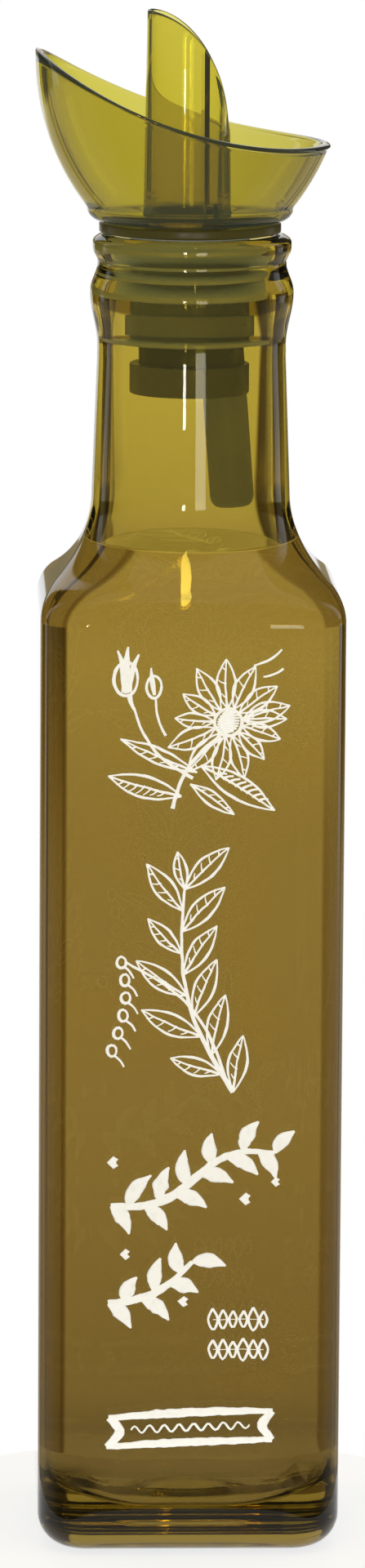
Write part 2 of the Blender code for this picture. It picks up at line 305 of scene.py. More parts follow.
# %% [markdown]
# ## Olive glass
#
# With all of the tint in the volume, the thick base and corners turn almost black, and the real ones are
# only a little darker. So most of it lies on the outer surface, where light loses its share at each
# crossing: the outline marks the points outside, and a ramp follows the slow change from base to neck.
# The ramp is partly the coat's own colour and partly painted shade: it darkens the body towards the base,
# standing in for the shaded floor seen through it.
# The volume's light absorption darkens the edges. A slow waviness from the mould grows near the base.

# %% The glass finish
here, shader, glass_finish = new_finish("olive_glass", {
    "Transmission Weight": 1.0,
    "IOR": 1.5,
    "Roughness": 0.0,
    "Specular Tint": (0.5, 0.5, 0.45, 1.0),
})
_, _, height_here = here.parts()
outside = here.node("ShaderNodeAttribute", out="Fac", attribute_name="outside")
low_down = height_here.scaled(12 * MM, 35 * MM, 8.0, 1.0)
waves = here.noise(28.0, 1.0, roughness=0.4) * low_down
feed(shader, "Normal", waves.bump(0.05, 0.6 * MM))
# The ramp is the coat's own tint by height, with painted shade darkening the body towards the base.
ramp_height = 220 * MM
tint_and_painted_shade = here.node("ShaderNodeValToRGB", [height_here / ramp_height], out="Color", stops=[
    (0.015, (0.300, 0.215, 0.110)),
    (0.035, (0.240, 0.162, 0.075)),
    (0.06, (0.110, 0.074, 0.032)),
    (0.09, (0.195, 0.128, 0.040)),
    (0.12, (0.200, 0.129, 0.040)),
    (0.30, (0.258, 0.168, 0.048)),
    (0.55, (0.288, 0.192, 0.052)),
    (0.67, (0.358, 0.247, 0.058)),
    (0.70, (0.315, 0.212, 0.050)),
    (0.74, (0.318, 0.217, 0.042)),
    (0.77, (0.375, 0.274, 0.038)),
    (0.86, (0.440, 0.330, 0.040)),
])
feed(shader, "Base Color", outside.mix(white, tint_and_painted_shade))
soak(glass_finish, (0.85, 0.82, 0.0), 35.0)

# %% [markdown]
# ## The bottle's outline
#
# A blown bottle has no sharp edge: the base turns up in a heel, the shoulder is a convex arc and a
# concave one with a straight slope between them, and the neck ends in a bead and a lip ring. The same
# shoulder, moved inwards by the wall, gives the hollow, and moved a hair less it gives the oil.

# %% Sizes of the glass
body_half = 24.6 * MM
body_corner = 8.0 * MM
heel_radius = 5.5 * MM
wall_at_shoulder = 3.0 * MM
wall_at_base = 3.6 * MM
base_thickness = 6.5 * MM
inner_heel_radius = 10.0 * MM
floor_dome = 2.0 * MM
shoulder_start = 152.6 * MM
shoulder_slope = radians(47)
convex_radius = 8.0 * MM
concave_radius = 18.0 * MM
neck_foot = 16.1 * MM
neck_top = 15.3 * MM
neck_top_height = 193.5 * MM
bore_radius = 13.1 * MM
bead_radius = 16.5 * MM
bead_height = 204.1 * MM
bead_rise_below = 8.5 * MM
bead_rise_above = 4.8 * MM
lip_top_height = 213.5 * MM
groove_radius = 15.3 * MM
lip_radius = 16.1 * MM
lip_face_radius = 14.8 * MM
mouth_round = 0.6 * MM
print("body", 2 * body_half, "m across, bore", 2 * bore_radius, "m")


# %% Arcs, softened corners and the shoulder
def arc(centre, arc_radius, start, end, steps):
    """Points of an arc in a half plane, as (distance from the axis, height)."""
    turns = [start + (end - start) * step / steps for step in range(steps + 1)]
    return [(centre[0] + arc_radius * cos(t), centre[1] + arc_radius * sin(t)) for t in turns]


def quarter_round(round_radius, steps):
    """How far in and how far up each point of a rounded corner lies."""
    turns = [pi / 2 * step / steps for step in range(steps + 1)]
    return [(round_radius * (1 - sin(t)), round_radius * (1 - cos(t))) for t in turns]


def softened(points, rounding, steps=4):
    """An outline whose inner corners are rounded by a curve that starts this far from each of them."""
    soft = [points[0]]
    for before, here_point, after in zip(points, points[1:], points[2:]):
        mid = Vector(here_point)
        back = Vector(before) - mid
        ahead = Vector(after) - mid
        reach = min(rounding, 0.45 * back.length, 0.45 * ahead.length)
        start = mid + back.normalized() * reach
        end = mid + ahead.normalized() * reach
        for step in range(steps + 1):
            share = step / steps
            point = start * (1 - share) ** 2 + mid * 2 * share * (1 - share) + end * share ** 2
            soft.append(tuple(point))
    return soft + [points[-1]]


def shoulder(inset, level=None, steps=24):
    """Sections of the shoulder, moved inwards, from the body up to the neck or to a level."""
    convex_centre = (body_half - convex_radius, shoulder_start)
    convex = arc(convex_centre, convex_radius - inset, 0.0, shoulder_slope, steps)
    bend = (convex_radius + concave_radius) * (1 - cos(shoulder_slope))
    slope_rise = (body_half - neck_foot - bend) / tan(shoulder_slope)
    centre_height = shoulder_start + slope_rise + (convex_radius + concave_radius) * sin(shoulder_slope)
    inner_radius = concave_radius + inset
    end_slope = 0.0 if level is None else asin((centre_height - level) / inner_radius)
    centre = (neck_foot + concave_radius, centre_height)
    concave = arc(centre, inner_radius, pi + shoulder_slope, pi + end_slope, steps)
    sections = []
    for half, level_here in convex + concave:
        share = min(max((body_half - half - inset) / (body_half - neck_foot), 0.0), 1.0)
        rounding = 1 - (1 - share) ** 1.7
        round_corner = body_corner + (neck_foot - body_corner) * rounding - inset
        sections.append((half, min(round_corner, half), level_here))
    return sections


def hollow(inset, level=None, steps=16):
    """Sections of the hollow, or of what fills it, from the middle of the floor upwards."""
    shift = inset - wall_at_shoulder
    floor_height = base_thickness + shift
    floor_half = body_half - wall_at_base - shift
    floor_corner = body_corner - wall_at_base - shift
    flat_half = floor_half - inner_heel_radius
    sections = []
    for step in range(8):
        share = step / 8
        rise = floor_dome * (1 - share ** 2) ** 2
        sections.append((flat_half * share, min(flat_half, inner_heel_radius) * share, floor_height + rise))
    for narrowing, rise in quarter_round(inner_heel_radius, steps):
        round_corner = floor_corner + (inner_heel_radius - floor_corner) * narrowing / inner_heel_radius
        sections.append((floor_half - narrowing, round_corner, floor_height + rise))
    return sections + shoulder(inset, level)


def bead_radius_at(level):
    """Radius of the neck on its bead, which swells gently below and quickly above."""
    base = neck_top if level < bead_height else groove_radius
    reach = bead_rise_below if level < bead_height else bead_rise_above
    share = min(abs(level - bead_height) / reach, 1.0)
    return base + (bead_radius - base) * cos(share * pi / 2) ** 2


print("shoulder has", len(shoulder(0.0)), "sections")

# %% The bottle
heel = [(body_half - narrowing, body_corner - narrowing, rise)
        for narrowing, rise in quarter_round(heel_radius, 16)]
bead_bottom = bead_height - bead_rise_below
bead_reach = bead_rise_below + bead_rise_above
bead = [bead_bottom + bead_reach * step / 40 for step in range(41)]
neck = [(bead_radius_at(level), level) for level in bead]
lip = [(bead_radius_at(bead[-1]), bead[-1]), (groove_radius, 209.3 * MM), (lip_radius, 210.9 * MM),
       (lip_radius, 212.6 * MM), (lip_face_radius, lip_top_height), (bore_radius, lip_top_height),
       (bore_radius, 208.0 * MM)]
neck += softened(lip, mouth_round, 6)
glass_outline = [(0.0, 0.0, 0.0)] + heel + shoulder(0.0)
glass_outline += [(neck_top, neck_top, neck_top_height)]
glass_outline += [(ring, ring, level) for ring, level in neck]
inner_points = sum(ring < lip_face_radius - 0.3 * MM for ring, _ in neck)
outside_count = len(glass_outline) - inner_points
glass_outline += [(bore_radius, bore_radius, level * MM) for level in range(204, 173, -6)]
glass_outline += list(reversed(hollow(wall_at_shoulder)))
bottle = grow(
    "bottle", shell_tree, outline_mesh("bottle_outline", glass_outline, outside_count),
    around=192, crowding=0.6, finish=glass_finish)

# %% [markdown]
# ## The oil
#
# If the oil stopped at the glass, the thin gap would act as a mirror. So its surface reaches a fifth of
# a millimetre into the wall, and light goes straight from one to the other. At the top it climbs a
# little where it wets the glass. It is clearer than the glass, and golden. Its level face glows faintly,
# in place of the light that falls on it through the neck, and hardly shows then.

# %% The oil finish and the oil
oil_level = 163.2 * MM
oil_overlap = 0.2 * MM
climb = 0.12 * MM
here, shader, oil_finish = new_finish("golden_oil", {
    "Transmission Weight": 1.0,
    "IOR": 1.47,
    "Roughness": 0.0,
    "Emission Strength": 0.20,
    "Specular Tint": (0.5, 0.5, 0.45, 1.0),
})
feed(shader, "Base Color", here.noise(14.0, 2.0).mix(white, (0.97, 0.96, 0.93)))
_, _, height_here = here.parts()
on_top = height_here > oil_level - 0.01 * MM
feed(shader, "Emission Color", on_top.mix(black, (1.0, 0.84, 0.25)))
soak(oil_finish, (0.79, 0.71, 0.0), 8.0)
oil_outline = hollow(wall_at_shoulder - oil_overlap, oil_level + climb)
rim_half = oil_outline[-1][0]
climb_reach = 2.4 * MM
for step in range(1, 25):
    away = 4.0 * MM * (step / 24) ** 2
    ring = rim_half - away
    sag = climb * (1 - (1 - min(away / climb_reach, 1.0)) ** 3)
    oil_outline.append((ring, min(oil_outline[-1][1], ring), oil_level + climb - sag))
oil_outline.append((0.0, 0.0, oil_level))
oil = grow(
    "oil_filling", shell_tree, outline_mesh("oil_outline", oil_outline),
    around=128, crowding=0.6, finish=oil_finish)

# %% [markdown]
# ## The stopper
#
# The stopper is moulded in soft olive plastic: a flange on the lip, thin fins that bend against the
# bore, a drum, and a leaning air tube. It is turned from one outline by the shell tree, and every edge
# is softened so that it catches a line of light. The tube and the bores lean or stand aside, so they are
# joined and cut by exact Booleans. Behind two curved walls the fins' tips look light and the core dark,
# so painted light and shade follow the distance from the axis: lighter at the fins' tips, darker at the
# core between them, and a fixed middle share below the top of the air tube. A faint painted glow stands
# for the light that the tinted glass scatters back. The flange, outside the glass, gets a plain dark
# colour with neither.

# %% The stopper finish
here, shader, stopper_finish = new_finish("soft_olive_plastic", {
    "IOR": 1.5,
    "Specular IOR Level": 0.25,
    "Emission Strength": 0.09,
})
core_edge = 9.2 * MM
fin_edge = 12.9 * MM
tube_top = 187.7 * MM
inside_top = 213.6 * MM
mottle = here.noise(160.0, 3.0)
sideways, outwards, height_here = here.parts()
from_axis = (sideways * sideways + outwards * outwards).maths("SQRT")
# Painted light and shade: lighter towards the fins' tips, darker at the core, a fixed middle share below
# the air tube.
painted_fin_light = from_axis.scaled(core_edge, fin_edge) * (height_here > tube_top)
painted_light_share = painted_fin_light.maths("MAXIMUM", 0.42 * (height_here < tube_top))
on_flange_without_painted_light = height_here > inside_top
speckled = mottle.mix((0.95, 0.95, 0.95), (0.75, 0.75, 0.75))
painted_light_and_shade = painted_light_share.mix((0.20, 0.22, 0.27), (0.90, 0.96, 1.0))
inner_colour_with_painted_shade = here.node("ShaderNodeMix", {"Factor": 1.0, "A": painted_light_and_shade, "B": speckled},
                       out="Result", data_type="RGBA", blend_type="MULTIPLY")
# Inside the glass the colour carries painted light and shade; the flange gets a plain dark colour.
feed(shader, "Base Color", on_flange_without_painted_light.mix(inner_colour_with_painted_shade, (0.100, 0.098, 0.032)))
# A faint painted glow inside the glass, and none on the flange.
painted_inner_glow = painted_light_share.mix((0.22, 0.27, 0.30), (0.80, 1.0, 1.0))
feed(shader, "Emission Color", on_flange_without_painted_light.mix(painted_inner_glow, black))
feed(shader, "Roughness", 0.22 + 0.12 * mottle)
feed(shader, "Normal", here.noise(900.0, 2.0).bump(0.15, 0.05 * MM))

# %% Sizes of the stopper
closure_x = -0.35 * MM
flange_bottom = 213.8 * MM
flange_top = 215.3 * MM
flange_radius = 14.7 * MM
core_radius = 9.6 * MM
fin_radius = 12.95 * MM
drum_radius = 10.4 * MM
waist_radius = 8.2 * MM
end_ring_radius = 9.7 * MM
end_ring_bottom = 187.8 * MM
pour_bore_radius = 3.9 * MM
pour_bore_x = -2.4 * MM
air_tube_radius = 3.6 * MM
air_tube_end = 169.3 * MM
air_tube_round = 1.6 * MM
air_bore_radius = 1.2 * MM
air_tube_x_top = 3.6 * MM
air_tube_x_end = 7.2 * MM
print("fins", 2 * fin_radius, "m across")


# %% Turned pieces, and joining or cutting them
def turned(name, outline, around_count, finish):
    """A round piece from an outline that runs up its outer side, as (distance, height)."""
    points = [(distance, distance, level) for distance, level in outline]
    host_mesh = outline_mesh(name + "_outline", points)
    return grow(name, shell_tree, host_mesh, around=around_count, finish=finish)


def rod(name, rod_radius, bottom, top, around_count):
    """A plain round bar between two heights, to cut a bore with."""
    outline = [(0.0, bottom), (rod_radius, bottom), (rod_radius, top), (0.0, top)]
    return turned(name, outline, around_count, stopper_finish)


def combined(piece, other, operation):
    """Join or cut a piece with another, which is then used up."""
    boolean = piece.modifiers.new("combine", "BOOLEAN")
    boolean.operation = operation
    boolean.solver = "EXACT"
    boolean.object = other
    mesh = plain_copy(piece)
    piece.modifiers.remove(boolean)
    piece.data = mesh
    bpy.data.objects.remove(other)
    return piece


def lean(piece, turn_about_y, to):
    """Turn and move a piece in its mesh, so that its object stays at the origin."""
    piece.data.transform(Matrix.Translation(to) @ Matrix.Rotation(turn_about_y, 4, "Y"))


def creased(piece, sharp_angle):
    """Smooth faces, with sharp edges where the surface turns by more than an angle."""
    piece.data.shade_smooth()
    piece.data.set_sharp_from_angle(angle=radians(sharp_angle))


print("turning, leaning and combining are ready")

# %% The stopper
fin_heights = [(211.4 - 2.5 * number) * MM for number in range(4)] + [196.7 * MM]


def fin(level):
    """One fin, up its outer side: thick at the root, thin at the tip."""
    return [(core_radius, level - 0.75 * MM), (fin_radius, level - 0.3 * MM),
            (fin_radius, level + 0.3 * MM), (core_radius, level + 0.75 * MM)]


stopper_outline = [
    (0.0, end_ring_bottom), (end_ring_radius, end_ring_bottom), (end_ring_radius, 192.6 * MM),
    (waist_radius, 192.6 * MM), (waist_radius, 195.8 * MM)]
stopper_outline += fin(fin_heights[-1])
stopper_outline += [(core_radius, 198.2 * MM), (drum_radius, 198.2 * MM), (drum_radius, 201.6 * MM),
                    (core_radius, 201.6 * MM)]
for level in reversed(fin_heights[:-1]):
    stopper_outline += fin(level)
stopper_outline += [(core_radius, 213.2 * MM), (fin_radius, 213.5 * MM), (fin_radius, flange_bottom),
                    (flange_radius, flange_bottom), (flange_radius, flange_top), (0.0, flange_top)]
stopper = turned("finned_stopper", softened(stopper_outline, 0.3 * MM), 96, stopper_finish)
lean_angle = atan2(air_tube_x_end - air_tube_x_top, flange_top - air_tube_end)
tube_length = hypot(air_tube_x_end - air_tube_x_top, flange_top - air_tube_end)
tube_outline = [(0.0, 0.0)]
tube_outline += arc((air_tube_radius - air_tube_round, air_tube_round), air_tube_round, -pi / 2, 0.0, 8)
tube_outline += [(air_tube_radius, tube_length - 1.5 * MM), (0.0, tube_length - 1.5 * MM)]
tube = turned("air_tube", tube_outline, 48, stopper_finish)
air_bore = rod("air_bore", air_bore_radius, -2 * MM, tube_length + 2 * MM, 24)
for leaning in (tube, air_bore):
    lean(leaning, -lean_angle, (air_tube_x_end, 0.0, air_tube_end))
pour_bore = rod("pour_bore", pour_bore_radius, 185 * MM, 218 * MM, 48)
lean(pour_bore, 0.0, (pour_bore_x, 0.0, 0.0))
combined(stopper, tube, "UNION")
combined(stopper, air_bore, "DIFFERENCE")
combined(stopper, pour_bore, "DIFFERENCE")
lean(stopper, 0.0, (closure_x, 0.0, 0.0))
creased(stopper, 50)
print("stopper joined:", len(stopper.data.polygons), "faces")

# %% [markdown]
# ## The pouring cup
#
# The cup and its spout are one moulding in clear yellow-green plastic. Both have slanted tops, so no
# single outline can be turned. Instead each direction round the axis gets its own outline: out along the
# underside, up the cup to the rim's height there, down inside, over the floor, and up, over and down
# the spout. Joined side by side, these outlines close into one shell without a seam. The plastic absorbs
# blue light. Its colour is golden on the spout and a little deeper to the right, where the deeper colour
# is painted shade. A faint bluish painted glow stands for the veil of light that the plastic reflects.

# %% The cup finish
# The faint bluish emission is a painted glow for the veil of light that the plastic reflects.
here, shader, cup_finish = new_finish("clear_yellow_green_plastic", {
    "Transmission Weight": 1.0,
    "IOR": 1.49,
    "Specular Tint": (0.6, 0.6, 0.5, 1.0),
    "Emission Color": (0.6, 0.8, 1.0, 1.0),
    "Emission Strength": 0.016,
})
spout_middle = -0.85 * MM
flow = here.noise(70.0, 1.0)
feed(shader, "Normal", flow.bump(0.06, 0.3 * MM))
feed(shader, "Roughness", 0.02 * flow)
sideways, outwards, height_here = here.parts()
beside = sideways - spout_middle
from_spout = (beside * beside + outwards * outwards).maths("SQRT")
on_spout = (from_spout < 7.4 * MM) * (height_here > 217.4 * MM)
# Painted shade: the walls turn a little darker towards the right.
towards_right = sideways.scaled(-4 * MM, 20 * MM)
tint_with_painted_shade = towards_right.mix((0.76, 0.715, 0.58), (0.66, 0.615, 0.66))
feed(shader, "Base Color", on_spout.mix(tint_with_painted_shade, (0.80, 0.75, 0.36)))
soak(cup_finish, (0.891, 0.866, 0.02), 1250.0)

# %% Sizes of the cup and spout
cup_bottom = 215.6 * MM
cup_floor = 217.0 * MM
cup_widest = 25.05 * MM
cup_widest_height = 242.1 * MM
cup_curve = 39.5 * MM
cup_wall = 1.6 * MM
foot_height = 2.2 * MM
foot_round = 2.3 * MM
rim_lowest = 228.3 * MM
rim_lowest_x = 22.0 * MM
rim_curve = 80.0 * MM
spout_x = -0.5 * MM
spout_foot = 7.1 * MM
spout_taper = 0.6 / 36
spout_bore = 5.95 * MM
spout_cut_x = -8.0 * MM
spout_cut_half = 14.1 * MM
spout_cut_low = 230.0 * MM
spout_cut_rise = 19.6 * MM
rim_round = 0.6 * MM
inner_corner = 1.2 * MM
fillet = 0.6 * MM
print("cup", 2 * cup_widest, "m across")


# %% Heights of the two slanted tops
def rim_height(x):
    """Top of the cup's rim, a wide hollow curve that falls to the right."""
    return rim_lowest + rim_curve - sqrt(rim_curve ** 2 - (x - rim_lowest_x) ** 2)


def spout_height(x):
    """Top of the spout, a quarter of an ellipse that falls to the right."""
    share = min((x - spout_cut_x) / spout_cut_half, 1.0)
    return spout_cut_low + spout_cut_rise * sqrt(1 - share ** 2)


def cup_outer(level, wall_here=0.0):
    """Radius of the cup at a height, or of its hollow if a wall is given."""
    curve = cup_curve - wall_here
    return cup_widest - cup_curve + sqrt(curve ** 2 - (level - cup_widest_height) ** 2)


def cup_inner(level):
    return cup_outer(level, cup_wall)


def spout_outer(level):
    return spout_foot - spout_taper * (level - cup_bottom - 0.7 * MM)


def spout_inner(level):
    return spout_bore


def top_point(radius_at, height_at, centre_x, direction):
    """Where a wall in one direction meets a slanted top, as (radius, height)."""
    level = height_at(centre_x)
    for _ in range(12):
        x = centre_x + radius_at(level) * cos(direction)
        level = 0.5 * (level + height_at(x))
    return radius_at(level), level


print("rim from", round(rim_height(-cup_widest), 4), "down to", round(rim_height(cup_widest), 4), "m")

# %% One outline for each direction
def rounded_top(outer, inner, steps=8):
    """Points over a wall's top, from its outer edge to its inner one, as half an ellipse."""
    points = []
    for step in range(steps + 1):
        turn_over = pi * step / steps
        share = (1 - cos(turn_over)) / 2
        ring = outer[0] + (inner[0] - outer[0]) * share
        level = outer[1] + (inner[1] - outer[1]) * share - rim_round * (1 - sin(turn_over))
        points.append((ring, level))
    return points


def wall(radius_at, start, end, steps, centring):
    """Points along a wall between two heights, without its ends."""
    levels = [start + (end - start) * step / steps for step in range(1, steps)]
    return [(radius_at(level), level, centring) for level in levels]


def pourer_outline(direction):
    """The pourer's section in one direction, as (radius, height, how much it centres on the spout)."""
    foot_top = cup_bottom + foot_height
    foot_radius = cup_outer(foot_top)
    outline = [(spout_bore, cup_bottom, 1.0), (foot_radius - foot_round - 3 * MM, cup_bottom, 0.0)]
    for step in range(9):
        turn_up = pi / 2 * step / 8
        ring = foot_radius - foot_round * (1 - sin(turn_up))
        outline.append((ring, foot_top - foot_height * cos(turn_up), 0.0))
    outer_top = top_point(cup_outer, rim_height, 0.0, direction)
    inner_top = top_point(cup_inner, rim_height, 0.0, direction)
    outline += wall(cup_outer, foot_top, outer_top[1] - rim_round, 32, 0.0)
    outline += [(ring, level, 0.0) for ring, level in rounded_top(outer_top, inner_top)]
    inner_foot = cup_floor + inner_corner
    outline += wall(cup_inner, inner_foot, inner_top[1] - rim_round, 32, 0.0)[::-1]
    for step in range(7):
        turn_in = pi / 2 * step / 6
        ring = cup_inner(inner_foot) - inner_corner * (1 - cos(turn_in))
        outline.append((ring, inner_foot - inner_corner * sin(turn_in), 0.0))
    outline += [(spout_outer(cup_floor) + out, cup_floor + up, 1.0) for out, up in quarter_round(fillet, 6)]
    outer_top = top_point(spout_outer, spout_height, spout_x, direction)
    inner_top = top_point(spout_inner, spout_height, spout_x, direction)
    outline += wall(spout_outer, cup_floor + fillet, outer_top[1] - rim_round, 24, 1.0)
    outline += [(ring, level, 1.0) for ring, level in rounded_top(outer_top, inner_top)]
    outline += wall(spout_inner, cup_bottom, inner_top[1] - rim_round, 24, 1.0)[::-1]
    return outline


print("points in one outline:", len(pourer_outline(0.0)))

# %% The pourer
cup_columns = 192
points = []
for number in range(cup_columns):
    direction = 2 * pi * (number + 0.5) / cup_columns
    outline = pourer_outline(direction)
    points += [(ring * cos(direction) + spout_x * on_spout, ring * sin(direction), level)
               for ring, level, on_spout in outline]
rows = len(outline)
faces = []
for number in range(cup_columns):
    here_start = number * rows
    next_start = (number + 1) % cup_columns * rows
    for low in range(rows):
        high = (low + 1) % rows
        faces.append((here_start + low, next_start + low, next_start + high, here_start + high))
mesh = bpy.data.meshes.new("pouring_cup")
mesh.from_pydata(points, [], faces)
mesh.materials.append(cup_finish)
pourer = place("pouring_cup", mesh)
print("pourer grid:", cup_columns, "by", rows)

# %% The dividing wall and the drain notch
divider_left = 1.9 * MM
divider_right = 2.7 * MM
reach = sqrt(spout_bore ** 2 - (divider_left - spout_x) ** 2) + 0.3 * MM


def block(name, corners, low, tops):
    """A block on a four-sided footprint, with its own top height at each corner."""
    points = [(x, y, low) for x, y in corners] + [(x, y, top) for (x, y), top in zip(corners, tops)]
    faces = [(3, 2, 1, 0), (4, 5, 6, 7), (0, 1, 5, 4), (1, 2, 6, 5), (2, 3, 7, 6), (3, 0, 4, 7)]
    block_mesh = bpy.data.meshes.new(name)
    block_mesh.from_pydata(points, [], faces)
    block_mesh.materials.append(cup_finish)
    return place(name, block_mesh)


def rectangle(left, right, half_depth):
    """The four corners of a block's footprint."""
    return [(left, -half_depth), (right, -half_depth), (right, half_depth), (left, half_depth)]


divider_tops = [spout_height(x) - 0.3 * MM
                for x in (divider_left, divider_right, divider_right, divider_left)]
divider = block(
    "divider", rectangle(divider_left, divider_right, reach), cup_bottom + 0.1 * MM, divider_tops)
combined(pourer, divider, "UNION")
drain_turn = radians(-58)
drain_distance = 6.5 * MM
notch = block("notch", rectangle(-2 * MM, 2 * MM, 1.1 * MM), cup_floor, [cup_floor + 2 * MM] * 4)
drain_place = (spout_x + drain_distance * cos(drain_turn), drain_distance * sin(drain_turn), 0.0)
notch.data.transform(Matrix.Translation(drain_place) @ Matrix.Rotation(drain_turn, 4, "Z"))
combined(pourer, notch, "DIFFERENCE")
lean(pourer, 0.0, (closure_x, 0.0, 0.0))
creased(pourer, 40)
print("pourer joined:", len(pourer.data.polygons), "faces")

# %% [markdown]
# ## The white print
#
# The front carries a screen print: thick white ink, laid on in drawn lines. Here it is a set of plants of
# our own design. Every line is a curve with a width at each point, and one tree turns all of them into
# raised ink: it sets leaves along the stems, lets the hand waver a little, gives each line a round
# section, and then presses that section flat against the glass.

# %% The ink
# The emission is a painted glow that keeps the ink bright white.
here, shader, ink_finish = new_finish("white_ink", {
    "Roughness": 0.5,
    "Specular IOR Level": 0.3,
    "Emission Color": (0.90, 0.96, 1.0, 1.0),
    "Emission Strength": 0.48,
})
cover = here.noise(900.0, 3.0, roughness=0.6)
feed(shader, "Base Color", here.node("ShaderNodeValToRGB", [cover], out="Color", stops=[
    (0.30, (0.80, 0.78, 0.68)),
    (0.48, (0.93, 0.93, 0.90)),
]))
feed(shader, "Normal", cover.bump(0.2, 0.02 * MM))

# %% Leaves along stems, and lines pressed onto the glass
ink_tree, entry = new_tree("ink_from_lines", {
    "Lines": ("Object", None),
    "Stems": ("Object", None),
    "Leaf": ("Object", None),
    "Leaf Length": ("Float", 6 * MM),
    "Spacing": ("Float", 4 * MM),
    "Spread": ("Float", 0.8),
    "Alternate": ("Float", 1.0),
    "Seed": ("Int", 1),
    "Finish": ("Material", None),
})


def brought_in(label):
    """The curves of an input object, bent smoothly through their points."""
    curves = entry.node("GeometryNodeObjectInfo", {"Object": entry.also(label)}, out="Geometry")
    return entry.node("GeometryNodeCurveSplineType", {"Curve": curves}, spline_type="CATMULL_ROM")


def by_chance(low, high):
    """A random number for each leaf or line, fixed by the seed."""
    return entry.node("FunctionNodeRandomValue", {
        2: low, 3: high, "Seed": entry.also("Seed")}, out=1, data_type="FLOAT")


stem_curves = brought_in("Stems")
stations = entry.node("GeometryNodeCurveToPoints", {
    "Curve": stem_curves, "Length": entry.also("Spacing")}, out="Points", mode="LENGTH")
heading_x, _, heading_z = stations.also("Tangent").parts()
index = entry.node("GeometryNodeInputIndex")
side = 1 - 2 * entry.also("Alternate") * index.maths("MODULO", 2.0)
leaf_turn = heading_x.maths("ARCTAN2", heading_z) + side * entry.also("Spread")
growth = by_chance(0.8, 1.15)
leaves = entry.node("GeometryNodeInstanceOnPoints", {
    "Points": stations,
    "Instance": brought_in("Leaf"),
    "Rotation": entry.node("FunctionNodeEulerToRotation", {"Euler": entry.vector(0.0, leaf_turn, 0.0)}),
    "Scale": entry.vector(*[growth * entry.also("Leaf Length")] * 3),
})
drawing = entry.node("GeometryNodeJoinGeometry", {"Geometry": brought_in("Lines")})
for more in (stem_curves, entry.node("GeometryNodeRealizeInstances", {"Geometry": leaves})):
    entry.tree.links.new(more.socket, drawing.socket.node.inputs[0])
even = entry.node("GeometryNodeResampleCurve", {"Curve": drawing, "Length": 0.45 * MM}, mode="LENGTH")
spot = entry.node("GeometryNodeInputPosition")
waver = spot.noise(420.0, 1.0, out="Color")
drift = entry.node("ShaderNodeVectorMath", [waver, (0.5, 0.5, 0.5)], operation="SUBTRACT")
reach_of_waver = (0.35 * MM, 0.0, 0.35 * MM)
shift = entry.node("ShaderNodeVectorMath", [drift, reach_of_waver], operation="MULTIPLY")
hand = entry.node("GeometryNodeSetPosition", {"Geometry": even, "Offset": shift})
pressure = spot.noise(800.0, 2.0)
width = entry.node("GeometryNodeInputRadius") * (0.65 + 0.7 * pressure)
layer = by_chance(0.050, 0.085) * MM
layered = hand.stored("ink_width", width).stored("ink_layer", layer, domain="CURVE")
circle = entry.node("GeometryNodeCurvePrimitiveCircle", {"Resolution": 8, "Radius": 1.0}, out="Curve")
round_line = entry.node("GeometryNodeCurveToMesh", {
    "Curve": layered,
    "Profile Curve": circle,
    "Scale": entry.named("ink_width"),
    "Fill Caps": True,
})
across, out_of_face, up_face = entry.node("GeometryNodeInputPosition").parts()
depth = out_of_face / entry.named("ink_width")
front_half = depth < 0.0
sunk = 0.01 * MM
thickness = front_half * entry.named("ink_layer") + (1 - front_half) * (0.04 * MM)
flat_line = entry.node("GeometryNodeSetPosition", {
    "Geometry": round_line,
    "Position": entry.vector(across, depth * thickness - sunk - body_half, up_face),
})
end_tree(flat_line, entry.also("Finish"))
print("ink tree has", len(ink_tree.nodes), "nodes")


# %% Drawing with lines
def curves(name, lines, unit=MM):
    """A curve object from lines; each is a list of places (across, up) and a list of widths in mm."""
    data = bpy.data.curves.new(name, "CURVE")
    data.dimensions = "3D"
    for places, widths in lines:
        spline = data.splines.new("POLY")
        spline.points.add(len(places) - 1)
        for number, (point, (x, z)) in enumerate(zip(spline.points, places)):
            share = number / (len(places) - 1) * (len(widths) - 1)
            low = min(int(share), len(widths) - 2)
            wide = widths[low] + (widths[low + 1] - widths[low]) * (share - low)
            point.co = (x * unit, 0.0, z * unit, 1.0)
            point.radius = wide / 2 * MM
    return place(name, data)


def bowed(start, end, bow, steps=6):
    """Places from start to end, bent to the left of the way by a bow."""
    run = (end[0] - start[0], end[1] - start[1])
    span = hypot(*run)
    places = []
    for step in range(steps + 1):
        share = step / steps
        aside = bow * sin(pi * share)
        places.append((start[0] + run[0] * share - run[1] / span * aside,
                       start[1] + run[1] * share + run[0] / span * aside))
    return places


def ring(centre, across_radius, up_radius, start=0.0, sweep=2 * pi, steps=20):
    """Places on an oval."""
    return [(centre[0] + across_radius * cos(start + sweep * step / steps),
             centre[1] + up_radius * sin(start + sweep * step / steps)) for step in range(steps + 1)]


